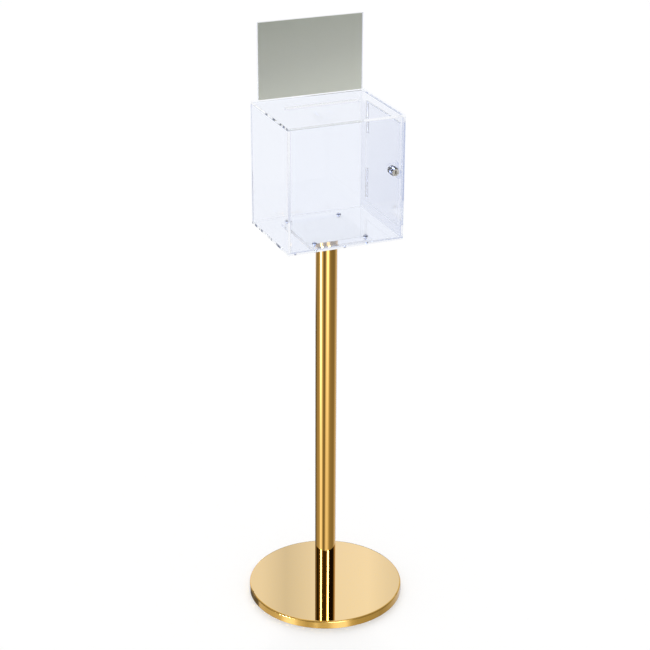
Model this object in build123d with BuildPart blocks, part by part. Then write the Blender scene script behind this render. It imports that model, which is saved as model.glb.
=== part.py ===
"""Ballot box on a weighted floor stand: a clear box with a posting slot, a side door and a sign pocket.

The origin is the centre of the base's underside. +Z is up, -Y is the front and +X is the door side.
All lengths are millimetres.
"""
from build123d import *
import os
from math import sqrt

os.makedirs("parts", exist_ok=True)

# Overall sizes of the stand
base_diameter = 381.0
base_height = 21.5
post_diameter = 50.8
stand_height = 960.0

# Overall sizes of the box, made of one sheet thickness
box_width = 280.0
box_depth = 230.0
box_height = 294.0
sheet = 6.0
sheet_arris = 0.3
joint_line = 0.1

# Base: a pressed cover over a cast weight, on a rubber pad
cover_wall = 1.5
cover_lift = 1.5
base_edge_radius = 3.5
weight_clearance = 0.3
pad_thickness = 3.0
pad_clearance = 0.5
pad_hole_diameter = 60.0

# Bolt that draws the post down onto the base
bolt_diameter = 12.0
bolt_length = 30.0
bolt_head_height = 7.5
bolt_head_across_flats = 19.0
bolt_hole_clearance = 0.5
thread_clearance = 0.05
washer_diameter = 24.0
washer_thickness = 2.5
recess_diameter = 34.0
recess_depth = 11.0

# Post tube and the plugs in its two ends
post_wall = 1.5
plug_clearance = 0.05
foot_plug_height = 24.0
head_plug_height = 20.0

# Clear plate on the post, and the white pad between it and the box's floor
plate_width = 150.0
plate_depth = 182.0
plate_thickness = 8.0
plate_pad_thickness = 1.4
plate_pad_depth = 140.0
plate_corner_radius = 10.0
plate_screw_count = 3
plate_screw_circle = 28.0
plate_screw_diameter = 6.0
plate_screw_head_diameter = 12.0
plate_screw_length = 20.0

# Screws and washers that hold the floor to the plate
floor_screw_spacing_x = 125.0
floor_screw_spacing_y = 155.0
floor_screw_diameter = 5.0
floor_screw_head_diameter = 9.5
floor_screw_head_height = 2.8
floor_screw_dome_share = 0.75
floor_screw_socket = 3.0
floor_screw_socket_depth = 1.6
floor_screw_length = 13.0
floor_washer_diameter = 11.5
floor_washer_thickness = 0.8
screw_clearance = 0.25

# Posting slot in the top
slot_length = 180.0
slot_width = 12.0
slot_from_back = 87.0

# Door opening in the right wall, by its margins from the wall's edges
door_margin_front = 20.0
door_margin_back = 27.0
door_margin_bottom = 28.0
door_margin_top = 24.0
door_gap = 1.2

# Finger pull on the door's outer face, which laps over the frame and stops the door
pull_diameter = 28.0
pull_thickness = 3.0
pull_overlap = 3.0
pull_height = 150.0

# Hinges on the outer face
hinge_length = 70.0
lower_hinge_inset = 7.5
upper_hinge_inset = 4.5
leaf_width = 9.0
leaf_thickness = 1.8
knuckle_count = 5
knuckle_radius = 3.2
knuckle_gap = 0.4
knuckle_stand_off = 0.4
pin_radius = 1.2
pin_clearance = 0.05
pin_head_radius = 2.2
pin_head_height = 0.8

# Push lock through the front wall, near the door
lock_from_right = 25.5
lock_height = 165.0
flange_diameter = 20.4
flange_thickness = 1.5
flange_round = 0.5
sleeve_diameter = 18.6
sleeve_length = 18.5
sleeve_end_wall = 2.0
sleeve_clearance = 0.15
core_diameter = 16.4
core_chamfer = 0.8
core_clearance = 0.08
core_end_gap = 0.5
lock_travel = 7.5
bolt_pin_diameter = 6.0
bolt_pin_seat = 4.0
bolt_pin_round = 0.8
bolt_rest_gap = 3.2
stop_pin_diameter = 2.0
stop_pin_bite = 1.2
stop_pin_setback = 5.0
stop_pin_clearance = 0.3
key_plug_diameter = 11.6
key_plug_length = 10.4
key_plug_setback = 0.6
key_slot_width = 2.4
key_slot_height = 8.6
key_slot_depth = 8.0
lock_washer_diameter = 20.8
lock_washer_thickness = 0.8
lock_nut_diameter = 20.8
lock_nut_thickness = 3.6
lock_nut_notch_count = 4
lock_nut_notch_width = 2.6
lock_nut_notch_depth = 0.6

# Strike on the door that the lock's bolt enters
strike_foot_height = 28.0
strike_foot_thickness = 3.0
strike_foot_margin = 3.5
strike_foot_corner = 6.0
strike_lug_height = 18.0
strike_lug_thickness = 12.0
strike_swing_clearance = 1.3
strike_hole_diameter = 8.6

# Sign pocket above the back wall, and its card
header_margin_left = 17.25
header_margin_right = 5.25
header_height = 178.0
header_sheet = 2.0
header_strip_width = 1.5
card_thickness = 1.5
card_side_clearance = 0.25
card_drop = 1.5

# One overrun for all cuts
overrun = 1.0

# Places worked out from the sizes above
base_radius = base_diameter / 2
post_radius = post_diameter / 2
post_bore_radius = post_radius - post_wall
plate_pad_top = stand_height - joint_line
plate_top = plate_pad_top - plate_pad_thickness
plate_bottom = plate_top - plate_thickness
floor_top = stand_height + sheet
box_top = stand_height + box_height
roof_bottom = box_top - sheet
wall_height = box_height - 2 * (sheet + joint_line)
between_width = box_width - 2 * (sheet + joint_line)
wall_middle_z = stand_height + box_height / 2
front_y = -box_depth / 2
back_y = box_depth / 2
right_x = box_width / 2
right_inner_x = right_x - sheet

weight_top = base_height - cover_wall
weight_radius = base_radius - cover_wall - weight_clearance
pad_radius = base_radius - cover_wall - pad_clearance
bolt_hole_radius = bolt_diameter / 2 + bolt_hole_clearance
recess_ceiling = pad_thickness + recess_depth
washer_bottom = recess_ceiling - washer_thickness
plug_radius = post_bore_radius - plug_clearance

door_opening_front = front_y + door_margin_front
door_opening_back = back_y - door_margin_back
door_opening_bottom = stand_height + door_margin_bottom
door_opening_top = box_top - door_margin_top
door_opening_width = door_opening_back - door_opening_front
door_opening_height = door_opening_top - door_opening_bottom
door_centre_y = (door_opening_front + door_opening_back) / 2
door_centre_z = (door_opening_bottom + door_opening_top) / 2
door_width = door_opening_width - 2 * door_gap
door_height = door_opening_height - 2 * door_gap
door_free_edge = door_opening_front + door_gap

leaf_x = right_x + joint_line + leaf_thickness / 2
hinge_x = right_x + knuckle_radius + knuckle_stand_off
hinge_y = door_opening_back - door_gap / 2
knuckle_pitch = hinge_length / knuckle_count
leaf_root = knuckle_radius + knuckle_stand_off
lower_hinge_bottom = door_opening_bottom + door_gap + lower_hinge_inset
upper_hinge_bottom = door_opening_top - door_gap - upper_hinge_inset - hinge_length

lock_x = right_x - lock_from_right
lock_z = stand_height + lock_height
flange_front = front_y - flange_thickness
sleeve_end = front_y + sleeve_length
core_front = flange_front - lock_travel
core_back = sleeve_end - sleeve_end_wall - core_end_gap - lock_travel
core_radius = core_diameter / 2
key_plug_radius = key_plug_diameter / 2
key_plug_front = core_front + key_plug_setback
stop_pin_radius = stop_pin_diameter / 2
stop_pin_y = front_y + stop_pin_setback
stop_slot_start = stop_pin_y - lock_travel - stop_pin_radius - stop_pin_clearance
stop_slot_end = stop_pin_y + stop_pin_radius + stop_pin_clearance
front_inner_y = front_y + sheet
lock_plane = Plane(origin=(lock_x, front_y, lock_z), x_dir=(1, 0, 0), z_dir=(0, 1, 0))

# The lug's nose swings past the frame's edge with the clearance named above
lug_nose = hinge_x - lock_x + strike_lug_height / 2
swing_reach = hinge_y - door_opening_front - strike_swing_clearance
strike_front = hinge_y - sqrt(swing_reach ** 2 - lug_nose ** 2)
strike_middle_y = strike_front + strike_lug_thickness / 2
bolt_pin_radius = bolt_pin_diameter / 2
bolt_pin_start = core_back - bolt_pin_seat
bolt_pin_tip = strike_front - bolt_rest_gap

header_width = box_width - header_margin_left - header_margin_right
header_centre_x = (header_margin_left - header_margin_right) / 2
header_front_y = back_y - sheet
header_bottom = box_top + joint_line
header_pocket = sheet - 2 * header_sheet


# Base

with BuildPart() as base_pad:
    with BuildSketch():
        Circle(pad_radius)
        Circle(pad_hole_diameter / 2, mode=Mode.SUBTRACT)
    extrude(amount=pad_thickness)

base_pad.part.label = "base_pad"
export_step(base_pad.part, "parts/base_pad.step")

with BuildPart() as base_weight:
    with BuildSketch(Plane.XY.offset(pad_thickness)):
        Circle(weight_radius)
    extrude(amount=weight_top - pad_thickness)
    fillet(base_weight.edges().group_by(Axis.Z)[-1], radius=base_edge_radius)
    with Locations(Plane(origin=(0, 0, pad_thickness), z_dir=(0, 0, -1))):
        CounterBoreHole(bolt_hole_radius, recess_diameter / 2, recess_depth)

base_weight.part.label = "base_weight"
export_step(base_weight.part, "parts/base_weight.step")

# The cover is one turned profile: flat top, rounded shoulder and skirt
with BuildPart() as base_cover:
    with BuildSketch(Plane.XZ):
        with BuildLine():
            shoulder_x = base_radius - base_edge_radius
            shoulder_z = base_height - base_edge_radius
            Line((bolt_hole_radius, base_height), (shoulder_x, base_height))
            RadiusArc((shoulder_x, base_height), (base_radius, shoulder_z), base_edge_radius)
            Line((base_radius, shoulder_z), (base_radius, cover_lift))
            Line((base_radius, cover_lift), (base_radius - cover_wall, cover_lift))
            Line((base_radius - cover_wall, cover_lift), (base_radius - cover_wall, shoulder_z))
            RadiusArc((base_radius - cover_wall, shoulder_z), (shoulder_x, weight_top),
                      cover_wall - base_edge_radius)
            Line((shoulder_x, weight_top), (bolt_hole_radius, weight_top))
            Line((bolt_hole_radius, weight_top), (bolt_hole_radius, base_height))
        make_face()
    revolve(axis=Axis.Z)

base_cover.part.label = "base_cover"
export_step(base_cover.part, "parts/base_cover.step")

with BuildPart() as base_washer:
    with BuildSketch(Plane.XY.offset(washer_bottom)):
        Circle(washer_diameter / 2)
        Circle(bolt_hole_radius, mode=Mode.SUBTRACT)
    extrude(amount=washer_thickness)

base_washer.part.label = "base_washer"
export_step(base_washer.part, "parts/base_washer.step")

with BuildPart() as base_bolt:
    with BuildSketch(Plane.XY.offset(washer_bottom)):
        RegularPolygon(bolt_head_across_flats / 2, side_count=6, major_radius=False)
    extrude(amount=-bolt_head_height)
    with BuildSketch(Plane.XY.offset(washer_bottom)):
        Circle(bolt_diameter / 2)
    extrude(amount=bolt_length)

base_bolt.part.label = "base_bolt"
export_step(base_bolt.part, "parts/base_bolt.step")


# Post

with BuildPart() as post_tube:
    with BuildSketch(Plane.XY.offset(base_height)):
        Circle(post_radius)
        Circle(post_bore_radius, mode=Mode.SUBTRACT)
    extrude(amount=plate_bottom - base_height)

post_tube.part.label = "post_tube"
export_step(post_tube.part, "parts/post_tube.step")

with BuildPart() as post_foot:
    with BuildSketch(Plane.XY.offset(base_height)):
        Circle(plug_radius)
        Circle(bolt_diameter / 2 + thread_clearance, mode=Mode.SUBTRACT)
    extrude(amount=foot_plug_height)

post_foot.part.label = "post_foot"
export_step(post_foot.part, "parts/post_foot.step")

with BuildPart() as post_head:
    with BuildSketch(Plane.XY.offset(plate_bottom)):
        Circle(plug_radius)
        with PolarLocations(plate_screw_circle / 2, plate_screw_count):
            Circle(plate_screw_diameter / 2 + thread_clearance, mode=Mode.SUBTRACT)
    extrude(amount=-head_plug_height)

post_head.part.label = "post_head"
export_step(post_head.part, "parts/post_head.step")

with BuildPart() as mounting_plate:
    with BuildSketch(Plane.XY.offset(plate_bottom)):
        RectangleRounded(plate_width, plate_depth, plate_corner_radius)
        with GridLocations(floor_screw_spacing_x, floor_screw_spacing_y, 2, 2):
            Circle(floor_screw_diameter / 2 + thread_clearance, mode=Mode.SUBTRACT)
    extrude(amount=plate_thickness)
    with Locations(Plane.XY.offset(plate_top)):
        with PolarLocations(plate_screw_circle / 2, plate_screw_count):
            CounterSinkHole(plate_screw_diameter / 2 + screw_clearance,
                            plate_screw_head_diameter / 2 + screw_clearance, counter_sink_angle=90)

mounting_plate.part.label = "mounting_plate"
export_step(mounting_plate.part, "parts/mounting_plate.step")

with BuildPart() as plate_pad:
    with BuildSketch(Plane.XY.offset(plate_top)):
        RectangleRounded(plate_width, plate_pad_depth, plate_corner_radius)
    extrude(amount=plate_pad_thickness)

plate_pad.part.label = "plate_pad"
export_step(plate_pad.part, "parts/plate_pad.step")

with BuildPart() as plate_screws:
    head_radius = plate_screw_head_diameter / 2
    shank_radius = plate_screw_diameter / 2
    with BuildSketch(Plane.XY.offset(plate_top)):
        with PolarLocations(plate_screw_circle / 2, plate_screw_count):
            Circle(shank_radius)
    extrude(amount=-plate_screw_length)
    with Locations(Plane.XY.offset(plate_top)):
        with PolarLocations(plate_screw_circle / 2, plate_screw_count):
            Cone(shank_radius, head_radius, head_radius - shank_radius,
                 align=(Align.CENTER, Align.CENTER, Align.MAX))

plate_screws.part.label = "plate_screws"
export_step(plate_screws.part, "parts/plate_screws.step")

with BuildPart() as floor_washers:
    with BuildSketch(Plane.XY.offset(floor_top)):
        with GridLocations(floor_screw_spacing_x, floor_screw_spacing_y, 2, 2):
            Circle(floor_washer_diameter / 2)
            Circle(floor_screw_diameter / 2 + screw_clearance, mode=Mode.SUBTRACT)
    extrude(amount=floor_washer_thickness)

floor_washers.part.label = "floor_washers"
export_step(floor_washers.part, "parts/floor_washers.step")

with BuildPart() as floor_screws:
    floor_screw_seat = floor_top + floor_washer_thickness
    with BuildSketch(Plane.XY.offset(floor_screw_seat)):
        with GridLocations(floor_screw_spacing_x, floor_screw_spacing_y, 2, 2):
            Circle(floor_screw_head_diameter / 2)
    extrude(amount=floor_screw_head_height)
    # Domed tops, then a hexagon socket in each
    fillet(floor_screws.edges().group_by(Axis.Z)[-1], radius=floor_screw_head_height * floor_screw_dome_share)
    with BuildSketch(Plane.XY.offset(floor_screw_seat + floor_screw_head_height)):
        with GridLocations(floor_screw_spacing_x, floor_screw_spacing_y, 2, 2):
            RegularPolygon(floor_screw_socket / 2, side_count=6, major_radius=False)
    extrude(amount=-floor_screw_socket_depth, mode=Mode.SUBTRACT)
    with BuildSketch(Plane.XY.offset(floor_screw_seat)):
        with GridLocations(floor_screw_spacing_x, floor_screw_spacing_y, 2, 2):
            Circle(floor_screw_diameter / 2)
    extrude(amount=-floor_screw_length)

floor_screws.part.label = "floor_screws"
export_step(floor_screws.part, "parts/floor_screws.step")


# Box: floor and top run full size, the side walls run full depth, the front and back fit between them

with BuildPart() as floor_panel:
    with BuildSketch(Plane.XY.offset(stand_height)):
        Rectangle(box_width, box_depth)
        with GridLocations(floor_screw_spacing_x, floor_screw_spacing_y, 2, 2):
            Circle(floor_screw_diameter / 2 + screw_clearance, mode=Mode.SUBTRACT)
    extrude(amount=sheet)
    chamfer(floor_panel.edges().filter_by(GeomType.LINE), length=sheet_arris)

floor_panel.part.label = "floor_panel"
export_step(floor_panel.part, "parts/floor_panel.step")

with BuildPart() as top_panel:
    with BuildSketch(Plane.XY.offset(roof_bottom)):
        Rectangle(box_width, box_depth)
        with Locations((0, back_y - slot_from_back)):
            SlotOverall(slot_length, slot_width, mode=Mode.SUBTRACT)
    extrude(amount=sheet)
    chamfer(top_panel.edges(), length=sheet_arris)

top_panel.part.label = "top_panel"
export_step(top_panel.part, "parts/top_panel.step")

with BuildPart() as left_panel:
    with BuildSketch(Plane.YZ.offset(-right_x)):
        with Locations((0, wall_middle_z)):
            Rectangle(box_depth, wall_height)
    extrude(amount=sheet)
    chamfer(left_panel.edges(), length=sheet_arris)

left_panel.part.label = "left_panel"
export_step(left_panel.part, "parts/left_panel.step")

with BuildPart() as right_panel:
    with BuildSketch(Plane.YZ.offset(right_inner_x)):
        with Locations((0, wall_middle_z)):
            Rectangle(box_depth, wall_height)
        with Locations((door_centre_y, door_centre_z)):
            Rectangle(door_opening_width, door_opening_height, mode=Mode.SUBTRACT)
    extrude(amount=sheet)
    chamfer(right_panel.edges(), length=sheet_arris)

right_panel.part.label = "right_panel"
export_step(right_panel.part, "parts/right_panel.step")

with BuildPart() as front_panel:
    with BuildSketch(Plane.XZ.offset(-front_inner_y)):
        with Locations((0, wall_middle_z)):
            Rectangle(between_width, wall_height)
        with Locations((lock_x, lock_z)):
            Circle(sleeve_diameter / 2 + sleeve_clearance, mode=Mode.SUBTRACT)
    extrude(amount=sheet)
    chamfer(front_panel.edges().filter_by(GeomType.LINE), length=sheet_arris)

front_panel.part.label = "front_panel"
export_step(front_panel.part, "parts/front_panel.step")

with BuildPart() as back_panel:
    with BuildSketch(Plane.XZ.offset(-back_y)):
        with Locations((0, wall_middle_z)):
            Rectangle(between_width, wall_height)
    extrude(amount=sheet)
    chamfer(back_panel.edges(), length=sheet_arris)

back_panel.part.label = "back_panel"
export_step(back_panel.part, "parts/back_panel.step")


# Door, its finger pull and its hinges

with BuildPart() as door_panel:
    with BuildSketch(Plane.YZ.offset(right_inner_x)):
        with Locations((door_centre_y, door_centre_z)):
            Rectangle(door_width, door_height)
    extrude(amount=sheet)
    chamfer(door_panel.edges(), length=sheet_arris)

door_panel.part.label = "door_panel"
export_step(door_panel.part, "parts/door_panel.step")

with BuildPart() as door_pull:
    with BuildSketch(Plane.YZ.offset(right_x + joint_line)):
        with Locations((door_opening_front - pull_overlap + pull_diameter / 2, stand_height + pull_height)):
            Circle(pull_diameter / 2)
    extrude(amount=pull_thickness)
    chamfer(door_pull.edges(), length=sheet_arris)

door_pull.part.label = "door_pull"
export_step(door_pull.part, "parts/door_pull.step")


def hinge_leaf(bottom, side, first_knuckle):
    """One leaf with its knuckles: side +1 lies on the frame, -1 on the door."""
    with BuildPart() as leaf:
        flat_width = leaf_width - leaf_root
        with BuildSketch(Plane.XY.offset(bottom)):
            with Locations((leaf_x, hinge_y + side * (leaf_root + flat_width / 2))):
                Rectangle(leaf_thickness, flat_width)
        extrude(amount=hinge_length)
        for index in range(first_knuckle, knuckle_count, 2):
            knuckle_bottom = bottom + index * knuckle_pitch + knuckle_gap / 2
            with BuildSketch(Plane.XY.offset(knuckle_bottom)):
                with Locations((leaf_x, hinge_y + side * leaf_root / 2)):
                    Rectangle(leaf_thickness, leaf_root)
                with Locations((hinge_x, hinge_y)):
                    Circle(knuckle_radius)
                    Circle(pin_radius + pin_clearance, mode=Mode.SUBTRACT)
            extrude(amount=knuckle_pitch - knuckle_gap)
    return leaf.part


def hinge_pin(bottom):
    """A straight pin with a flat head against the outer face of each end knuckle."""
    low_end = bottom + knuckle_gap / 2
    high_end = bottom + hinge_length - knuckle_gap / 2
    with BuildPart() as pin:
        with BuildSketch(Plane.XY.offset(low_end)):
            with Locations((hinge_x, hinge_y)):
                Circle(pin_radius)
        extrude(amount=high_end - low_end)
        with BuildSketch(Plane.XY.offset(low_end), Plane.XY.offset(high_end + pin_head_height)):
            with Locations((hinge_x, hinge_y)):
                Circle(pin_head_radius)
        extrude(amount=-pin_head_height)
    return pin.part


for place, hinge_bottom in (("lower", lower_hinge_bottom), ("upper", upper_hinge_bottom)):
    frame_leaf = hinge_leaf(hinge_bottom, side=1, first_knuckle=0)
    frame_leaf.label = f"{place}_hinge_frame_leaf"
    export_step(frame_leaf, f"parts/{place}_hinge_frame_leaf.step")

    door_leaf = hinge_leaf(hinge_bottom, side=-1, first_knuckle=1)
    door_leaf.label = f"{place}_hinge_door_leaf"
    export_step(door_leaf, f"parts/{place}_hinge_door_leaf.step")

    pin = hinge_pin(hinge_bottom)
    pin.label = f"{place}_hinge_pin"
    export_step(pin, f"parts/{place}_hinge_pin.step")

# Strike: a foot on the door's inner face and a round-nosed lug with the bolt's hole
with BuildPart() as door_strike:
    foot_face_x = right_inner_x - joint_line
    with BuildSketch(Plane.YZ.offset(foot_face_x)):
        with Locations((strike_middle_y, lock_z)):
            RectangleRounded(strike_lug_thickness + 2 * strike_foot_margin, strike_foot_height,
                             strike_foot_corner)
    extrude(amount=-strike_foot_thickness)
    with BuildSketch(Plane.XZ.offset(-strike_front)):
        lug_reach = foot_face_x - strike_foot_thickness - lock_x
        with Locations((lock_x, lock_z)):
            Circle(strike_lug_height / 2)
        with Locations((lock_x + lug_reach / 2, lock_z)):
            Rectangle(lug_reach, strike_lug_height)
        with Locations((lock_x, lock_z)):
            Circle(strike_hole_diameter / 2, mode=Mode.SUBTRACT)
    extrude(amount=-strike_lug_thickness)

door_strike.part.label = "door_strike"
export_step(door_strike.part, "parts/door_strike.step")


# Push lock: all its pieces are turned about one axis that runs from front to back

with BuildPart() as lock_sleeve:
    with BuildSketch(lock_plane.offset(-flange_thickness)):
        Circle(flange_diameter / 2)
    extrude(amount=flange_thickness)
    fillet(lock_sleeve.edges().group_by(Axis.Y)[0], radius=flange_round)
    with BuildSketch(lock_plane):
        Circle(sleeve_diameter / 2)
    extrude(amount=sleeve_length)
    with BuildSketch(lock_plane.offset(-flange_thickness)):
        Circle(core_radius + core_clearance)
    extrude(amount=flange_thickness + sleeve_length - sleeve_end_wall, mode=Mode.SUBTRACT)
    with BuildSketch(lock_plane):
        Circle(bolt_pin_radius + core_clearance)
    extrude(amount=sleeve_length, mode=Mode.SUBTRACT)
    with BuildSketch(Plane.XY.offset(lock_z)):
        with Locations((lock_x, stop_pin_y)):
            Circle(stop_pin_radius + thread_clearance)
    extrude(amount=-sleeve_diameter, mode=Mode.SUBTRACT)

lock_sleeve.part.label = "lock_sleeve"
export_step(lock_sleeve.part, "parts/lock_sleeve.step")

# A short pin through the sleeve's underside keeps the core from coming out
with BuildPart() as lock_stop_pin:
    with BuildSketch(Plane.XY.offset(lock_z - core_radius + stop_pin_bite)):
        with Locations((lock_x, stop_pin_y)):
            Circle(stop_pin_radius)
    extrude(amount=-(sleeve_diameter / 2 - core_radius + stop_pin_bite))

lock_stop_pin.part.label = "lock_stop_pin"
export_step(lock_stop_pin.part, "parts/lock_stop_pin.step")

with BuildPart() as lock_washer:
    with BuildSketch(lock_plane.offset(sheet)):
        Circle(lock_washer_diameter / 2)
        Circle(sleeve_diameter / 2 + sleeve_clearance, mode=Mode.SUBTRACT)
    extrude(amount=lock_washer_thickness)

lock_washer.part.label = "lock_washer"
export_step(lock_washer.part, "parts/lock_washer.step")

with BuildPart() as lock_nut:
    with BuildSketch(lock_plane.offset(sheet + lock_washer_thickness)):
        Circle(lock_nut_diameter / 2)
        with PolarLocations(lock_nut_diameter / 2, lock_nut_notch_count):
            Rectangle(2 * lock_nut_notch_depth, lock_nut_notch_width, mode=Mode.SUBTRACT)
        Circle(sleeve_diameter / 2 + thread_clearance, mode=Mode.SUBTRACT)
    extrude(amount=lock_nut_thickness)

lock_nut.part.label = "lock_nut"
export_step(lock_nut.part, "parts/lock_nut.step")

with BuildPart() as lock_core:
    with BuildSketch(lock_plane.offset(core_front - front_y)):
        Circle(core_radius)
    extrude(amount=core_back - core_front)
    chamfer(lock_core.edges().group_by(Axis.Y)[0], length=core_chamfer)
    with BuildSketch(lock_plane.offset(core_front - front_y)):
        Circle(key_plug_radius + core_clearance)
    extrude(amount=key_plug_setback + key_plug_length, mode=Mode.SUBTRACT)
    with BuildSketch(lock_plane.offset(core_back - front_y)):
        Circle(bolt_pin_radius + thread_clearance)
    extrude(amount=-bolt_pin_seat, mode=Mode.SUBTRACT)
    # Slot along the underside in which the stop pin runs
    with BuildSketch(Plane.XY.offset(lock_z - core_radius - overrun)):
        with Locations((lock_x, (stop_slot_start + stop_slot_end) / 2)):
            Rectangle(stop_pin_diameter + 2 * stop_pin_clearance, stop_slot_end - stop_slot_start)
    extrude(amount=overrun + stop_pin_bite + stop_pin_clearance, mode=Mode.SUBTRACT)

lock_core.part.label = "lock_core"
export_step(lock_core.part, "parts/lock_core.step")

with BuildPart() as lock_bolt:
    with BuildSketch(lock_plane.offset(bolt_pin_start - front_y)):
        Circle(bolt_pin_radius)
    extrude(amount=bolt_pin_tip - bolt_pin_start)
    fillet(lock_bolt.edges().group_by(Axis.Y)[-1], radius=bolt_pin_round)

lock_bolt.part.label = "lock_bolt"
export_step(lock_bolt.part, "parts/lock_bolt.step")

with BuildPart() as key_plug:
    with BuildSketch(lock_plane.offset(key_plug_front - front_y)):
        Circle(key_plug_radius)
    extrude(amount=key_plug_length)
    with BuildSketch(lock_plane.offset(key_plug_front - front_y)):
        Rectangle(key_slot_width, key_slot_height)
    extrude(amount=key_slot_depth, mode=Mode.SUBTRACT)

key_plug.part.label = "key_plug"
export_step(key_plug.part, "parts/key_plug.step")


# Sign pocket: two thin sheets held apart by a strip at each side, standing on the back edge of the top

with BuildPart() as header_front_sheet:
    with BuildSketch(Plane.XY.offset(header_bottom)):
        with Locations((header_centre_x, header_front_y + header_sheet / 2)):
            Rectangle(header_width, header_sheet)
    extrude(amount=header_height)
    chamfer(header_front_sheet.edges(), length=sheet_arris)

header_front_sheet.part.label = "header_front_sheet"
export_step(header_front_sheet.part, "parts/header_front_sheet.step")

with BuildPart() as header_rear_sheet:
    with BuildSketch(Plane.XY.offset(header_bottom)):
        with Locations((header_centre_x, back_y - header_sheet / 2)):
            Rectangle(header_width, header_sheet)
    extrude(amount=header_height)
    chamfer(header_rear_sheet.edges(), length=sheet_arris)

header_rear_sheet.part.label = "header_rear_sheet"
export_step(header_rear_sheet.part, "parts/header_rear_sheet.step")

for hand, side in (("left", -1), ("right", 1)):
    with BuildPart() as header_strip:
        strip_x = header_centre_x + side * (header_width - header_strip_width) / 2
        with BuildSketch(Plane.XY.offset(header_bottom)):
            with Locations((strip_x, header_front_y + sheet / 2)):
                Rectangle(header_strip_width, header_pocket - 2 * joint_line)
        extrude(amount=header_height)
    header_strip.part.label = f"header_{hand}_strip"
    export_step(header_strip.part, f"parts/header_{hand}_strip.step")

with BuildPart() as sign_card:
    card_width = header_width - 2 * (header_strip_width + card_side_clearance)
    with BuildSketch(Plane.XY.offset(box_top)):
        with Locations((header_centre_x, header_front_y + sheet / 2)):
            Rectangle(card_width, card_thickness)
    extrude(amount=header_height - card_drop)

sign_card.part.label = "sign_card"
export_step(sign_card.part, "parts/sign_card.step")

# Fits that the travel of the lock and the door's swing depend on
print("bolt enters the strike by", round(bolt_pin_tip + lock_travel - strike_front, 2))
print("bolt stands clear of the strike by", round(strike_front - bolt_pin_tip, 2))
print("lug's face stands behind the door's free edge by", round(strike_front - door_free_edge, 2))
print("core's length", round(core_back - core_front, 2))
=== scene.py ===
"""Dresses the clear ballot box and its gold stand: finishes, floor, lights and camera."""

import math

import bpy
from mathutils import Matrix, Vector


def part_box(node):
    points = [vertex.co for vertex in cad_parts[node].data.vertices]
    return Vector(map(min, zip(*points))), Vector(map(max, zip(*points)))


# Camera, in metres and degrees
CAMERA_PLACE = (-1.4144, -3.3527, 2.3288)
CAMERA_YAW = 22.31
CAMERA_PITCH = 24.23
PICTURE_SIDE = 650
FOCAL_PIXELS = 1686.7
CENTRE_COLUMN = 311.0
CENTRE_ROW = 337.6
SENSOR_WIDTH = 36.0
# How far the posting slot's edges lie from the middle of the top, in metres
SLOT_REACH = 0.1
# The heights between which the right wall turns paler, in metres
PALE_FROM, PALE_TO = 1.218, 1.230
# A face looks along an axis where its normal there is more than this
FACING = 0.5
# A face is steep where its normal rises less than this
STEEP = 0.7
# A face of the base cover is upright or rounded where its normal rises less than this
ROUNDED = 0.98
# The key slot's faces lie within this share of the plug's radius
KEY_SLOT_SHARE = 0.9
# They lie further behind the plug's front than this, in metres
KEY_SLOT_DEPTH = 0.0001
# How far the noise rises across the soft border of a dark speck of painted reflection
PAINTED_REFLECTION_BORDER = 0.04
# Light runs along inside a clear sheet by many bounces
BOUNCES = 64

# Sheets of the clear box, by the axis that each one is thin along
THIN_X, THIN_Y, THIN_Z = 0, 1, 2
CLEAR_SHEETS = {
    "mounting_plate": THIN_Z,
    "floor_panel": THIN_Z,
    "top_panel": THIN_Z,
    "left_panel": THIN_X,
    "right_panel": THIN_X,
    "door_panel": THIN_X,
    "front_panel": THIN_Y,
    "back_panel": THIN_Y,
    "header_front_sheet": THIN_Y,
    "header_rear_sheet": THIN_Y,
    "header_left_strip": THIN_X,
    "header_right_strip": THIN_X,
}
HINGE_LEAVES = (
    "lower_hinge_frame_leaf",
    "lower_hinge_door_leaf",
    "upper_hinge_frame_leaf",
    "upper_hinge_door_leaf",
)
HINGE_PINS = ("lower_hinge_pin", "upper_hinge_pin")
LOCK_RINGS = ("lock_sleeve", "lock_nut", "lock_washer")
STEEL_PARTS = (
    "floor_washers",
    "base_bolt",
    "base_washer",
    "plate_screws",
    "lock_bolt",
    "lock_stop_pin",
)

# The strength of the mirrored studio, which is more than its brightest tone
BRIGHTEST = 32.0
# How bright the background is, and the light that it gives to matt surfaces
BACKGROUND, FILL = 0.985, 0.665
# The floor's own tone, and how it shows where it is seen: a matt share and a glow
FLOOR_TONE = (0.795, 0.805)
FLOOR_SHADE, FLOOR_GLOW = 0.56, 0.435
# How far the floor reaches each way, in metres
FLOOR_REACH = 30.0
# The lamp's width and tilt in degrees, and its strength
LAMP_WIDTH, LAMP_TILT, LAMP_STRENGTH = 45.0, -50.0, 1.65
# Counts of mirrored bounces that are at least one, and at least two
ONCE, TWICE = 0.5, 1.5
# Studio light up to this is dim, and its green and blue are then these shares of its red
DIM = 0.5
DIM_GREEN, DIM_BLUE = 0.97, 0.90
# What those shares gain as the light grows bright
MORE_GREEN, MORE_BLUE = 0.17, 0.80

# Tones are pairs of a place and a brightness. Most places go round the studio from 0 to 1, starting
# behind the object.

# Dark upper walls and two strip lamps, as they show in the base's top by way of the post
WALL_TONES = [
    (0.000, 1.00), (0.085, 0.90), (0.125, 0.30), (0.170, 0.04), (0.240, 0.02), (0.290, 0.10),
    (0.340, 0.25), (0.350, 20.0), (0.376, 20.0), (0.384, 0.30), (0.410, 0.10), (0.450, 0.05),
    (0.500, 0.05), (0.560, 0.20), (0.572, 20.0), (0.600, 20.0), (0.608, 0.20), (0.632, 0.01),
    (0.780, 0.01), (0.810, 0.20), (0.860, 0.60), (0.920, 0.95), (1.000, 1.00),
]
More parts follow.
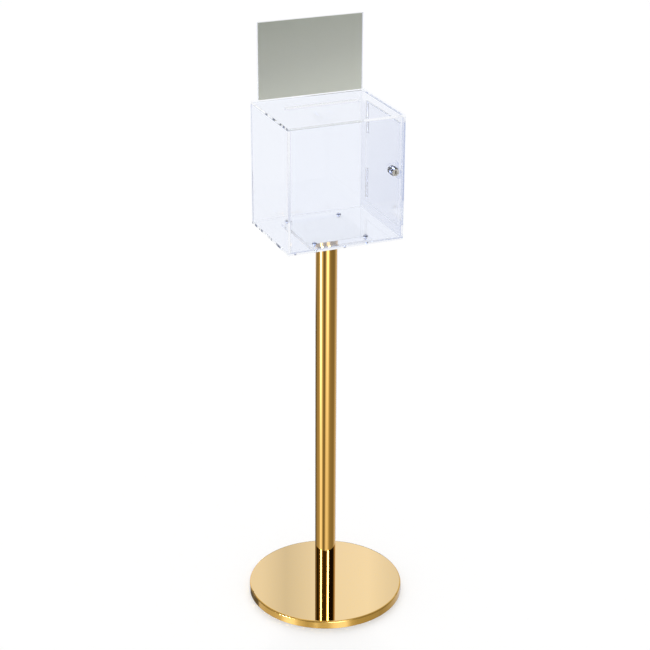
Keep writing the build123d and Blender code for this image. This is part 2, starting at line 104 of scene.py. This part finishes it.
# The lower walls, as the top of the post shows them
POST_TONES = [
    (0.000, 1.00), (0.085, 0.90), (0.125, 0.30), (0.170, 0.04), (0.240, 0.02), (0.290, 0.10),
    (0.300, 0.25), (0.310, 26.0), (0.352, 26.0), (0.360, 0.30), (0.410, 0.10), (0.450, 0.05),
    (0.490, 0.05), (0.505, 0.20), (0.518, 7.00), (0.572, 7.00), (0.584, 0.20), (0.632, 0.01),
    (0.780, 0.01), (0.810, 0.20), (0.860, 0.60), (0.920, 0.95), (1.000, 1.00),
]
# The upper walls as they show after one reflection, and at all other heights
ROOM_TONES = [
    (0.000, 1.00), (0.100, 0.95), (0.150, 0.70), (0.200, 0.45), (0.290, 0.40), (0.322, 0.50),
    (0.340, 1.10), (0.372, 1.10), (0.380, 0.50), (0.450, 0.35), (0.550, 0.45), (0.566, 1.10),
    (0.600, 1.10), (0.610, 0.45), (0.650, 0.35), (0.780, 0.40), (0.860, 0.75), (1.000, 1.00),
]
# The studio's floor, where the lamps leave paler bands
FLOOR_TONES = [
    (0.000, 0.85), (0.100, 0.55), (0.136, 0.42), (0.194, 0.37), (0.244, 0.42), (0.290, 0.52),
    (0.322, 0.90), (0.350, 1.50), (0.375, 1.20), (0.389, 0.80), (0.420, 0.34), (0.455, 0.16),
    (0.470, 0.30), (0.490, 0.80), (0.513, 1.02), (0.545, 1.08), (0.580, 0.84), (0.607, 0.50),
    (0.638, 0.34), (0.709, 0.29), (0.755, 0.30), (0.795, 0.58), (0.856, 0.88), (1.000, 1.00),
]
# The floor nearest the object, which the base's rim shows
NEAR_FLOOR_TONES = [
    (0.000, 0.90), (0.145, 0.75), (0.234, 0.59), (0.300, 0.70), (0.324, 1.20), (0.362, 1.20),
    (0.384, 0.76), (0.425, 0.56), (0.448, 0.70), (0.461, 1.00), (0.474, 0.70), (0.486, 0.58),
    (0.512, 0.60), (0.535, 1.05), (0.560, 1.20), (0.588, 1.20), (0.611, 0.62), (0.640, 0.48),
    (0.740, 0.42), (0.800, 0.50), (0.864, 0.60), (1.000, 0.80),
]
# Heights from 0 below to 1 above, and how far the dark upper walls can show at each one
TOP_HEIGHTS = [(0.715, 0.0), (0.725, 1.0), (0.79, 1.0), (0.81, 0.0)]
# A direction's upward share from where to where the lower walls, the floor and the nearest floor end
LOWER_WALLS_END = (0.0, 0.06)
FLOOR_ENDS = (-0.50, 0.0)
NEAR_FLOOR_ENDS = (-0.545, -0.525)
# Four upright strips of the backdrop with dark panels, which give the lock its streaks: where each one
# is round the studio, and its tones by height
LOCK_STRIPS = [
    (
        [(0.106, 0.0), (0.110, 1.0), (0.158, 1.0), (0.165, 0.0)],
        [(0.0, 0.12), (0.310, 0.12), (0.325, 0.60), (0.400, 0.60), (0.415, 0.03), (0.500, 0.06),
         (0.515, 0.60), (0.600, 0.60), (0.615, 0.02), (0.685, 0.02), (0.700, 0.30), (1.0, 0.30)],
    ),
    (
        [(0.043, 0.0), (0.047, 1.0), (0.106, 1.0), (0.110, 0.0)],
        [(0.0, 0.12), (0.300, 0.12), (0.310, 0.95), (0.730, 0.95), (0.738, 0.06), (0.790, 0.06),
         (0.80, 1.00)],
    ),
    (
        [(0.0, 1.0), (0.022, 1.0), (0.026, 0.0)],
        [(0.0, 0.50), (0.600, 0.50), (0.610, 0.04), (0.735, 0.04), (0.745, 0.98), (1.0, 1.00)],
    ),
    (
        [(0.965, 0.0), (0.969, 1.0), (0.9935, 1.0), (0.9975, 0.0)],
        [(0.0, 0.02), (0.688, 0.02), (0.700, 1.00), (1.0, 1.00)],
    ),
]
# Soft upright folds across the backdrop, which the base's top shows, and how far aside they reach
FOLDS_REACH = (-0.05, 0.06)
FOLD_TONES = [
    (0.10, 1.00), (0.19, 0.98), (0.32, 0.80), (0.44, 0.93), (0.52, 1.00), (0.76, 1.07),
    (0.86, 0.95), (1.00, 0.84),
]
# What clear sheets show of the studio after light has bounced inside them: white, with blue gaps that
# lie along one way
GAP_WAY = (0.8, 0.5, 0.33)
GAP_BLUE = (0.36, 0.43, 0.66)
BOUNCED_TONES = [
    (0.00, 1.0), (0.10, 1.0), (0.13, 0.0), (0.20, 0.0), (0.23, 1.0), (0.42, 1.0), (0.45, 0.0),
    (0.49, 0.0), (0.52, 1.0), (0.66, 1.0), (0.69, 0.0), (0.78, 0.0), (0.81, 1.0), (1.00, 1.0),
]


def put(tree, kind, sockets=(), **settings):
    """Adds one shader node; sockets maps its inputs to numbers, colours or outputs that feed them."""
    node = tree.nodes.new(kind)
    for name, value in settings.items():
        setattr(node, name, value)
    for name, value in dict(sockets).items():
        if isinstance(value, bpy.types.NodeSocket):
            tree.links.new(value, node.inputs[name])
        else:
            node.inputs[name].default_value = value
    return node


def maths(tree, operation, first, second, clamped=False):
    """A sum, product or comparison of two values."""
    return put(
        tree,
        "ShaderNodeMath",
        {0: first, 1: second},
        operation=operation,
        use_clamp=clamped,
    ).outputs[0]


def mixed(tree, share, first, second):
    """Two shaders, with the second by its share."""
    return put(tree, "ShaderNodeMixShader", {0: share, 1: first, 2: second}).outputs[0]


def colour(red, green, blue):
    """A linear colour with full alpha."""
    return (red, green, blue, 1.0)


def level(value):
    """A grey of that strength."""
    return colour(value, value, value)


def blank_finish(name):
    """A new material with an empty tree and its output node."""
    finish = bpy.data.materials.new(name)
    finish.use_nodes = True
    finish.node_tree.nodes.clear()
    return finish, finish.node_tree, put(finish.node_tree, "ShaderNodeOutputMaterial")


def object_place(tree, stretch=(1.0, 1.0, 1.0)):
    """Object coordinates, stretched by a factor along each axis."""
    coordinates = put(tree, "ShaderNodeTexCoord")
    return put(
        tree,
        "ShaderNodeMapping",
        {"Vector": coordinates.outputs["Object"], "Scale": stretch},
    ).outputs["Vector"]


def grain(tree, place, scale, detail=3.0, roughness=0.55):
    """Cloudy noise of a given scale, as a value from 0 to 1."""
    return put(
        tree,
        "ShaderNodeTexNoise",
        {"Vector": place, "Scale": scale, "Detail": detail, "Roughness": roughness},
    ).outputs["Fac"]


def spread(tree, value, low, high, start=0.3, stop=0.7):
    """The value between start and stop, spread smoothly from low to high."""
    return put(
        tree,
        "ShaderNodeMapRange",
        {"Value": value, "From Min": start, "From Max": stop, "To Min": low, "To Max": high},
        interpolation_type="SMOOTHSTEP",
    ).outputs["Result"]


def ranged(tree, value, low, high):
    """The value's place between low and high, from 0 to 1."""
    return put(
        tree, "ShaderNodeMapRange", {"Value": value, "From Min": low, "From Max": high}
    ).outputs["Result"]


def ramp(tree, value, stops):
    """A colour ramp; stops are (place, colour) pairs in order."""
    node = put(tree, "ShaderNodeValToRGB", {"Fac": value})
    elements = node.color_ramp.elements
    while len(elements) > 1:
        elements.remove(elements[-1])
    elements[0].position = stops[0][0]
    elements[0].color = stops[0][1]
    for position, tone in stops[1:]:
        elements.new(position).color = tone
    return node.outputs["Color"]


def grey_ramp(tree, place, tones):
    """A ramp of greys from (place, strength) pairs."""
    return ramp(tree, place, [(p, level(v)) for p, v in tones])


def blended(tree, factor, first, second, blend_type="MIX"):
    """Two colours, mixed or multiplied."""
    return put(
        tree,
        "ShaderNodeMix",
        {"Factor": factor, "A": first, "B": second},
        data_type="RGBA",
        blend_type=blend_type,
    ).outputs["Result"]


def share_along(tree, way, direction):
    """How far a way points along a direction."""
    return put(
        tree, "ShaderNodeVectorMath", {0: way, 1: direction}, operation="DOT_PRODUCT"
    ).outputs["Value"]


def raised(tree, height, depth, strength):
    """A bump normal from a height pattern whose full height is depth, in metres."""
    return put(
        tree,
        "ShaderNodeBump",
        {"Height": height, "Distance": depth, "Strength": strength},
    ).outputs["Normal"]


def mirrored_share(tree):
    """1 for light that metal mirrors, and 0 for what clear plastic mirrors and for all else."""
    ray = put(tree, "ShaderNodeLightPath")
    glossy, singular = ray.outputs["Is Glossy Ray"], ray.outputs["Is Singular Ray"]
    return maths(tree, "SUBTRACT", glossy, singular, clamped=True)


def bounced_share(tree):
    """1 for light that leaves a clear sheet after bouncing inside it, and 0 for all else."""
    ray = put(tree, "ShaderNodeLightPath")
    mirrored = maths(tree, "GREATER_THAN", ray.outputs["Glossy Depth"], ONCE)
    return maths(tree, "MULTIPLY", mirrored, ray.outputs["Is Transmission Ray"])


def metal_finish(name, tone, roughness, normal=None, lacquer=0.0, metallic=1.0):
    """A metal of one colour, with its roughness pattern, an optional bump and clear lacquer.

    Its roughness is given as low, high, the stretch and the scale of the pattern, and its bump as
    stretch, scale, depth in metres and strength.
    """
    finish, tree, output = blank_finish(name)
    sockets = {
        "Base Color": tone,
        "Metallic": metallic,
        "Coat Weight": lacquer,
        "Coat Roughness": 0.02,
    }
    shader = put(tree, "ShaderNodeBsdfPrincipled", sockets)
    low, high, stretch, scale = roughness
    place = object_place(tree, stretch)
    haze = grain(tree, place, scale)
    tree.links.new(spread(tree, haze, low, high), shader.inputs["Roughness"])
    if normal is not None:
        stretch, scale, depth, strength = normal
        lines = grain(tree, object_place(tree, stretch), scale, 2.0)
        tree.links.new(raised(tree, lines, depth, strength), shader.inputs["Normal"])
    tree.links.new(shader.outputs["BSDF"], output.inputs["Surface"])
    return finish


def polished_gold():
    """Gold plating polished along the post."""
    return metal_finish(
        "polished_gold",
        colour(0.84, 0.48, 0.11),
        (0.012, 0.03, (1.0, 1.0, 0.05), 300.0),
        ((1.0, 1.0, 0.12), 38.0, 0.0002, 0.012),
    )


def spun_gold():
    """The same plating on the base's top, spun smooth and under clear lacquer."""
    return metal_finish(
        "spun_gold",
        colour(0.85, 0.58, 0.21),
        (0.012, 0.03, (1.0, 1.0, 1.0), 60.0),
        ((1.0, 1.0, 1.0), 9.0, 0.0002, 0.03),
        lacquer=0.7,
    )


def brushed_gold():
    """The same gold, brushed along the base's rim so that its lines run round it."""
    return metal_finish(
        "brushed_gold",
        colour(0.93, 0.55, 0.12),
        (0.08, 0.14, (1.0, 1.0, 60.0), 30.0),
        ((1.0, 1.0, 90.0), 34.0, 0.0002, 0.08),
        lacquer=0.25,
    )


def chrome_finish(name, tone):
    """Chrome plate on turned and pressed small parts."""
    return metal_finish(
        name,
        tone,
        (0.02, 0.06, (1.0, 1.0, 1.0), 900.0),
        ((1.0, 0.2, 1.0), 1200.0, 0.00002, 0.1),
    )


def nickel_face():
    """Warm satin nickel on the lock's face, the key plug and the hinge pins."""
    return metal_finish(
        "nickel_face",
        colour(0.84, 0.81, 0.73),
        (0.14, 0.22, (1.0, 1.0, 1.0), 1500.0),
        ((1.0, 1.0, 1.0), 2500.0, 0.00002, 0.1),
        metallic=0.5,
    )


def key_slot_painted_shade():
    """Near-black metal inside the key slot, painted shade for its recess."""
    return metal_finish(
        "key_slot_painted_shade", colour(0.05, 0.05, 0.045), (0.30, 0.45, (1.0, 1.0, 1.0), 900.0)
    )


def painted_shade_steel():
    """Dark steel tone on the floor screws' sides and recesses: painted shade and painted dark
    reflections on the chrome heads.
    """
    return metal_finish(
        "painted_shade_steel", colour(0.09, 0.11, 0.17), (0.10, 0.20, (1.0, 1.0, 1.0), 900.0)
    )


def plain_steel():
    """Zinc-plated steel with faint crystals."""
    return metal_finish(
        "zinc_steel",
        colour(0.55, 0.57, 0.60),
        (0.22, 0.40, (1.0, 1.0, 1.0), 350.0),
        ((1.0, 1.0, 1.0), 800.0, 0.00004, 0.3),
    )


def turned_aluminium():
    """Plain turned aluminium of the post's two plugs."""
    return metal_finish(
        "turned_aluminium",
        colour(0.80, 0.81, 0.83),
        (0.18, 0.30, (1.0, 1.0, 8.0), 160.0),
        ((1.0, 1.0, 30.0), 60.0, 0.0001, 0.15),
    )


def painted_casting():
    """Grey paint on a rough iron casting."""
    finish, tree, output = blank_finish("painted_casting")
    place = object_place(tree)
    lumps = grain(tree, place, 160.0, 5.0)
    tones = ramp(
        tree,
        lumps,
        [(0.25, colour(0.035, 0.037, 0.04)), (0.75, colour(0.075, 0.078, 0.082))],
    )
    sockets = {
        "Base Color": tones,
        "Roughness": spread(tree, grain(tree, place, 70.0), 0.5, 0.75),
        "Normal": raised(tree, lumps, 0.0006, 0.5),
    }
    shader = put(tree, "ShaderNodeBsdfPrincipled", sockets)
    tree.links.new(shader.outputs["BSDF"], output.inputs["Surface"])
    return finish


def rubber_finish(name, dark, light):
    """Rubber with a fine dull grain between two tones."""
    finish, tree, output = blank_finish(name)
    place = object_place(tree)
    pores = grain(tree, place, 900.0, 4.0)
    tones = ramp(tree, pores, [(0.3, dark), (0.7, light)])
    sockets = {
        "Base Color": tones,
        "Roughness": spread(tree, pores, 0.7, 0.9),
        "Normal": raised(tree, pores, 0.0002, 0.4),
    }
    shader = put(tree, "ShaderNodeBsdfPrincipled", sockets)
    tree.links.new(shader.outputs["BSDF"], output.inputs["Surface"])
    return finish


def clear_finish(name, tint, ripple=None, index=1.49, painted_reflection_specks=None, paler=None):
    """Clear plastic with a faint tint at each face. Lamps, diffuse light and mirrored light pass it.

    A ripple is a noise scale, a depth in metres and a strength. Painted reflection specks are a noise
    scale, how much is dark, and the dark colour: dark dashes in the tint that paint reflections along
    the edges. Paler is two heights and the tint above them.
    """
    finish, tree, output = blank_finish(name)
    sockets = {
        "Base Color": tint,
        "Roughness": 0.0,
        "IOR": index,
        "Transmission Weight": 1.0,
    }
    solid = put(tree, "ShaderNodeBsdfPrincipled", sockets)
    # Painted reflections: dark specks in the tint where the edges show dark reflections
    if painted_reflection_specks is not None:
        scale, share, dark = painted_reflection_specks
        painted_reflection_dots = grain(tree, object_place(tree, (1.0, 1.0, 0.4)), scale, 1.0)
        tones = ramp(tree, painted_reflection_dots, [(share, dark), (share + PAINTED_REFLECTION_BORDER, tint)])
        tree.links.new(tones, solid.inputs["Base Color"])
    if paler is not None:
        start, stop, tone = paler
        height = put(tree, "ShaderNodeSeparateXYZ", {"Vector": object_place(tree)}).outputs["Z"]
        tones = ramp(tree, ranged(tree, height, start, stop), [(0.0, tint), (1.0, tone)])
        tree.links.new(tones, solid.inputs["Base Color"])
    if ripple is not None:
        scale, depth, strength = ripple
        saw_marks = grain(tree, object_place(tree), scale, 2.0)
        tree.links.new(raised(tree, saw_marks, depth, strength), solid.inputs["Normal"])
    open_way = put(tree, "ShaderNodeBsdfTransparent").outputs[0]
    ray = put(tree, "ShaderNodeLightPath")
    surface = solid.outputs[0]
    for open_to in (mirrored_share(tree), ray.outputs["Is Diffuse Ray"], ray.outputs["Is Shadow Ray"]):
        surface = mixed(tree, open_to, surface, open_way)
    tree.links.new(surface, output.inputs["Surface"])
    return finish


def sign_paper():
    """Bare grey-green card, paler towards its lower right corner, with paper grain and a soft sheen."""
    finish, tree, output = blank_finish("sign_paper")
    low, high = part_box("sign_card")
    place = object_place(tree)
    across, down = 0.22, 0.78
    slant = (across / (high.x - low.x), 0.0, -down / (high.z - low.z))
    start = slant[0] * low.x + slant[2] * high.z
    paling = ranged(tree, share_along(tree, place, slant), start, start + across + down)
    tones = ramp(
        tree,
        paling,
        [
            (0.0, colour(0.418, 0.435, 0.365)),
            (0.5, colour(0.525, 0.54, 0.468)),
            (1.0, colour(0.697, 0.716, 0.62)),
        ],
    )
    fibres = grain(tree, place, 1400.0, 5.0, 0.7)
    speckle = spread(tree, fibres, 0.95, 1.04)
    sockets = {
        "Base Color": blended(tree, 1.0, tones, speckle, "MULTIPLY"),
        "Roughness": spread(tree, fibres, 0.42, 0.6),
        "Normal": raised(tree, fibres, 0.00005, 0.25),
    }
    shader = put(tree, "ShaderNodeBsdfPrincipled", sockets)
    tree.links.new(shader.outputs["BSDF"], output.inputs["Surface"])
    return finish


def floor_finish():
    """Matt white floor that takes the shadow and fades to white. Light that metal mirrors passes it."""
    finish, tree, output = blank_finish("matt_floor")
    place = object_place(tree)
    mottle = spread(tree, grain(tree, place, 6.0), *FLOOR_TONE)
    tone = put(tree, "ShaderNodeCombineColor", {0: mottle, 1: mottle, 2: mottle})
    matt = put(tree, "ShaderNodeBsdfDiffuse", {"Color": tone.outputs[0]})
    faint = put(tree, "ShaderNodeBsdfDiffuse", {"Color": level(FLOOR_SHADE)})
    glow = put(tree, "ShaderNodeEmission", {"Color": level(1.0), "Strength": FLOOR_GLOW})
    lit = put(tree, "ShaderNodeAddShader", {0: faint.outputs[0], 1: glow.outputs[0]})
    ray = put(tree, "ShaderNodeLightPath")
    seen = maths(tree, "MAXIMUM", ray.outputs["Is Camera Ray"], ray.outputs["Is Transmission Ray"])
    seen = maths(tree, "MAXIMUM", seen, ray.outputs["Is Glossy Ray"])
    faded = mixed(tree, seen, matt.outputs[0], lit.outputs[0])
    open_to = maths(tree, "MAXIMUM", mirrored_share(tree), bounced_share(tree))
    open_way = put(tree, "ShaderNodeBsdfTransparent").outputs[0]
    whole = mixed(tree, open_to, faded, open_way)
    tree.links.new(whole, output.inputs["Surface"])
    return finish


def give(node, *finishes):
    """Puts these finishes on a part; all its faces take the first one until they are marked."""
    slots = node.data.materials
    slots.clear()
    for finish in finishes:
        slots.append(finish)


def mark_narrow_faces(node, thin_axis):
    """Faces that look across the sheet's thin axis are its edges. They take the second finish, or the
    third where they look to the left."""
    for face in node.data.polygons:
        if abs(face.normal[thin_axis]) < FACING:
            face.material_index = 1 + int(face.normal.x < -FACING)


def mark_slot(node):
    """The edges round the posting slot take the fourth finish, a darker tint that paints a shaded
    outline round the slot.
    """
    for face in node.data.polygons:
        aside = max(abs(face.center.x), abs(face.center.y))
        if abs(face.normal.z) < FACING and aside < SLOT_REACH:
            face.material_index = 3


def mark_steep_faces(node):
    """The sides and the recess of the screws' heads take the second finish, which paints shade and dark
    reflections on them.
    """
    head_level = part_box("floor_panel")[1].z
    for face in node.data.polygons:
        face.material_index = int(abs(face.normal.z) < STEEP and face.center.z > head_level)


def mark_rim(node):
    """The base cover's upright and rounded faces take the second finish."""
    for face in node.data.polygons:
        face.material_index = int(abs(face.normal.z) < ROUNDED)


def mark_lock_face(node):
    """The faces of the lock's core that look to the front take the second finish."""
    for face in node.data.polygons:
        face.material_index = int(face.normal.y < -FACING)


def mark_key_slot(node):
    """The key plug's faces inside its slot, all within its round side but the front, take the second
    finish, the painted shade.
    """
    low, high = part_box(node.name)
    middle = (low + high) / 2
    reach = KEY_SLOT_SHARE * (high.x - low.x) / 2
    for face in node.data.polygons:
        inside = math.hypot(face.center.x - middle.x, face.center.z - middle.z) < reach
        face.material_index = int(inside and face.center.y > low.y + KEY_SLOT_DEPTH)


def dress_box(nodes):
    """Finishes the clear box, its door, hinges and sign pocket."""
    sheet = clear_finish("clear_sheet", colour(0.925, 0.942, 0.983))
    faint_sheet = clear_finish("faint_sheet", colour(0.97, 0.975, 0.99), index=1.06)
    top_sheet = clear_finish("clear_top_sheet", colour(0.965, 0.975, 1.0), index=1.04)
    side_sheet = clear_finish("clear_side_sheet", colour(0.885, 0.90, 0.95))
    frame_sheet = clear_finish(
        "clear_frame_sheet",
        colour(0.885, 0.90, 0.95),
        paler=(PALE_FROM, PALE_TO, colour(0.98, 0.985, 1.0)),
    )
    plain_edge = clear_finish("plain_edge", colour(0.93, 0.945, 0.98), index=1.2)
    # The slot's edges take a darker tint: a painted shaded outline round the slot
    slot_edge_painted_shade = clear_finish("slot_edge_painted_shade", colour(0.87, 0.88, 0.92), index=1.04)
    # Sawn edges: saw marks as a bump, and dark specks in the tint that are painted reflections
    sawn_edge_painted_reflections = clear_finish(
        "sawn_edge_painted_reflections",
        colour(0.96, 0.975, 1.0),
        ripple=(60.0, 0.0008, 0.1),
        painted_reflection_specks=(75.0, 0.43, colour(0.005, 0.01, 0.04)),
    )
    hinge = clear_finish("hinge_plastic", colour(0.985, 0.985, 0.985), index=1.01)
    faces = {
        "top_panel": top_sheet,
        "right_panel": frame_sheet,
        "door_panel": side_sheet,
        "mounting_plate": faint_sheet,
        "header_front_sheet": faint_sheet,
        "header_rear_sheet": faint_sheet,
    }
    edges = {"top_panel": top_sheet, "mounting_plate": faint_sheet}
    # Sheets whose left-looking edges take the sawn finish with its painted reflections
    painted_reflection_sheets = ("top_panel", "floor_panel")
    for name, thin_axis in CLEAR_SHEETS.items():
        edge = edges.get(name, plain_edge)
        give(nodes[name], faces.get(name, sheet), edge, sawn_edge_painted_reflections if name in painted_reflection_sheets else edge)
        mark_narrow_faces(nodes[name], thin_axis)
    nodes["top_panel"].data.materials.append(slot_edge_painted_shade)
    mark_slot(nodes["top_panel"])
    give(nodes["door_pull"], sheet)
    give(nodes["door_strike"], faint_sheet)
    for name in HINGE_LEAVES:
        give(nodes[name], hinge)
    give(nodes["sign_card"], sign_paper())


def dress_stand(nodes):
    """Finishes the post, the base and the pads."""
    give(nodes["base_cover"], spun_gold(), brushed_gold())
    mark_rim(nodes["base_cover"])
    give(nodes["post_tube"], polished_gold())
    give(nodes["base_weight"], painted_casting())
    black_rubber = rubber_finish(
        "black_rubber", colour(0.012, 0.012, 0.013), colour(0.03, 0.03, 0.031)
    )
    white_rubber = rubber_finish(
        "white_rubber", colour(0.92, 0.925, 0.93), colour(0.96, 0.965, 0.97)
    )
    give(nodes["base_pad"], black_rubber)
    give(nodes["plate_pad"], white_rubber)
    aluminium = turned_aluminium()
    give(nodes["post_foot"], aluminium)
    give(nodes["post_head"], aluminium)


def dress_fittings(nodes):
    """Finishes the lock, the screws and the other small metal parts."""
    bright_chrome = chrome_finish("bright_chrome", colour(0.78, 0.80, 0.85))
    lock_chrome = chrome_finish("lock_chrome", colour(0.50, 0.52, 0.57))
    for name in LOCK_RINGS:
        give(nodes[name], lock_chrome)
    # The screws' steep faces take a dark tone: painted shade and dark reflections
    give(nodes["floor_screws"], bright_chrome, painted_shade_steel())
    mark_steep_faces(nodes["floor_screws"])
    nickel = nickel_face()
    give(nodes["lock_core"], lock_chrome, nickel)
    mark_lock_face(nodes["lock_core"])
    # The key slot's inner faces take a near-black finish: painted shade
    give(nodes["key_plug"], nickel, key_slot_painted_shade())
    mark_key_slot(nodes["key_plug"])
    for name in HINGE_PINS:
        give(nodes[name], nickel)
    steel = plain_steel()
    for name in STEEL_PARTS:
        give(nodes[name], steel)


def studio_glow(value):
    """A studio tone as light: a little warm where it is dim, and cooler the brighter it is."""
    cool = min(max(value - DIM, 0.0), 1.0)
    shown = value / BRIGHTEST
    green = shown * (DIM_GREEN + MORE_GREEN * cool)
    blue = shown * (DIM_BLUE + MORE_BLUE * cool)
    return colour(shown, green, blue)


def glow_ramp(tree, place, tones):
    """A ramp of studio light from (place, brightness) pairs."""
    return ramp(tree, place, [(p, studio_glow(v)) for p, v in tones])


def mirrored_studio(tree, way):
    """What metal mirrors: a studio with dark sides, two strip lamps and a pale backdrop."""
    yaw = math.radians(CAMERA_YAW)
    back = share_along(tree, way, (-math.sin(yaw), -math.cos(yaw), 0.0))
    aside = share_along(tree, way, (math.cos(yaw), -math.sin(yaw), 0.0))
    round_place = ranged(tree, maths(tree, "ARCTAN2", aside, back), -math.pi, math.pi)
    rise = put(tree, "ShaderNodeSeparateXYZ", {"Vector": way}).outputs["Z"]
    height = ranged(tree, rise, -1.0, 1.0)
    room = glow_ramp(tree, round_place, ROOM_TONES)
    walls = glow_ramp(tree, round_place, WALL_TONES)
    floors = glow_ramp(tree, round_place, FLOOR_TONES)
    near_floor = glow_ramp(tree, round_place, NEAR_FLOOR_TONES)
    lower = glow_ramp(tree, round_place, POST_TONES)
    bounces = put(tree, "ShaderNodeLightPath").outputs["Glossy Depth"]
    again = maths(tree, "GREATER_THAN", bounces, TWICE)
    doubled = maths(tree, "MULTIPLY", again, grey_ramp(tree, height, TOP_HEIGHTS))
    around = blended(tree, doubled, room, walls)
    around = blended(tree, spread(tree, rise, 1.0, 0.0, *LOWER_WALLS_END), around, lower)
    around = blended(tree, spread(tree, rise, 0.0, 1.0, *FLOOR_ENDS), floors, around)
    around = blended(tree, spread(tree, rise, 1.0, 0.0, *NEAR_FLOOR_ENDS), around, near_floor)
    for strip, tones in LOCK_STRIPS:
        around = blended(
            tree, grey_ramp(tree, round_place, strip), around, glow_ramp(tree, height, tones)
        )
    folds = grey_ramp(tree, ranged(tree, aside, *FOLDS_REACH), FOLD_TONES)
    behind_object = maths(tree, "LESS_THAN", back, 0.0)
    return blended(tree, behind_object, around, blended(tree, 1.0, around, folds, "MULTIPLY"))


def bounced_light(tree, way):
    """White with blue gaps, for light that has bounced inside the clear sheets."""
    across = share_along(tree, way, GAP_WAY)
    gaps = grey_ramp(tree, ranged(tree, across, -1.0, 1.0), BOUNCED_TONES)
    return blended(tree, gaps, colour(*GAP_BLUE), level(1.0))


def studio_light():
    """The world: white for the camera and through clear sheets, a plain pale light on everything, and
    the mirrored studio for metal."""
    world = bpy.data.worlds.new("studio_light")
    bpy.context.scene.world = world
    world.use_nodes = True
    tree = world.node_tree
    tree.nodes.clear()
    output = put(tree, "ShaderNodeOutputWorld")
    way = put(tree, "ShaderNodeTexCoord").outputs["Generated"]
    ray = put(tree, "ShaderNodeLightPath")
    plain = put(
        tree,
        "ShaderNodeBackground",
        {
            "Color": blended(tree, bounced_share(tree), level(1.0), bounced_light(tree, way)),
            "Strength": spread(tree, ray.outputs["Is Diffuse Ray"], BACKGROUND, FILL, 0.0, 1.0),
        },
    )
    studio = put(
        tree, "ShaderNodeBackground", {"Color": mirrored_studio(tree, way), "Strength": BRIGHTEST}
    )
    whole = mixed(tree, mirrored_share(tree), plain.outputs[0], studio.outputs[0])
    tree.links.new(whole, output.inputs["Surface"])


def studio_floor():
    """A plain level square under the base, far wider than the view."""
    near, far = -FLOOR_REACH, FLOOR_REACH
    corners = [(near, near, 0.0), (far, near, 0.0), (far, far, 0.0), (near, far, 0.0)]
    mesh = bpy.data.meshes.new("studio_floor")
    mesh.from_pydata(corners, [], [(0, 1, 2, 3)])
    floor = bpy.data.objects.new("studio_floor", mesh)
    bpy.context.scene.collection.objects.link(floor)
    mesh.materials.append(floor_finish())


def soft_lamp():
    """One far wide lamp above and a little behind, for the soft shadow in front of the base."""
    data = bpy.data.lights.new("soft_lamp", "SUN")
    data.angle = math.radians(LAMP_WIDTH)
    data.energy = LAMP_STRENGTH
    lamp = bpy.data.objects.new("soft_lamp", data)
    lamp.rotation_euler = (math.radians(LAMP_TILT), 0.0, math.radians(-CAMERA_YAW))
    lamp.visible_glossy = False
    lamp.visible_transmission = False
    bpy.context.scene.collection.objects.link(lamp)


def camera():
    """The photograph's viewpoint, with the small shift of its framing."""
    lens = bpy.data.cameras.new("viewpoint")
    lens.sensor_width = SENSOR_WIDTH
    lens.lens = SENSOR_WIDTH * FOCAL_PIXELS / PICTURE_SIDE
    lens.shift_x = (PICTURE_SIDE / 2 - CENTRE_COLUMN) / PICTURE_SIDE
    lens.shift_y = (CENTRE_ROW - PICTURE_SIDE / 2) / PICTURE_SIDE
    lens.clip_end = 100.0
    eye = bpy.data.objects.new("viewpoint", lens)
    eye.location = CAMERA_PLACE
    eye.rotation_euler = (math.radians(90.0 - CAMERA_PITCH), 0.0, math.radians(-CAMERA_YAW))
    bpy.context.scene.collection.objects.link(eye)
    bpy.context.scene.camera = eye


def settle_view():
    """Plain view settings, and enough bounces for light inside the clear sheets."""
    scene = bpy.context.scene
    scene.view_settings.view_transform = "Standard"
    scene.cycles.max_bounces = BOUNCES
    scene.cycles.transmission_bounces = BOUNCES
    scene.cycles.glossy_bounces = BOUNCES
    scene.cycles.transparent_max_bounces = BOUNCES


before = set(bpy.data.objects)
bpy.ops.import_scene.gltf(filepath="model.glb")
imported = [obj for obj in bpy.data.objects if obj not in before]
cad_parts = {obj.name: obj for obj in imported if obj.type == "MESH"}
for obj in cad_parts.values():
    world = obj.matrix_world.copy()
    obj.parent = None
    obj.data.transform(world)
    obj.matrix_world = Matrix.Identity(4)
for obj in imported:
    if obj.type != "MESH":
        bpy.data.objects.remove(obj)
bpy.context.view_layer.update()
dress_box(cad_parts)
dress_stand(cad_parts)
dress_fittings(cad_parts)
camera()
studio_light()
studio_floor()
soft_lamp()
settle_view()
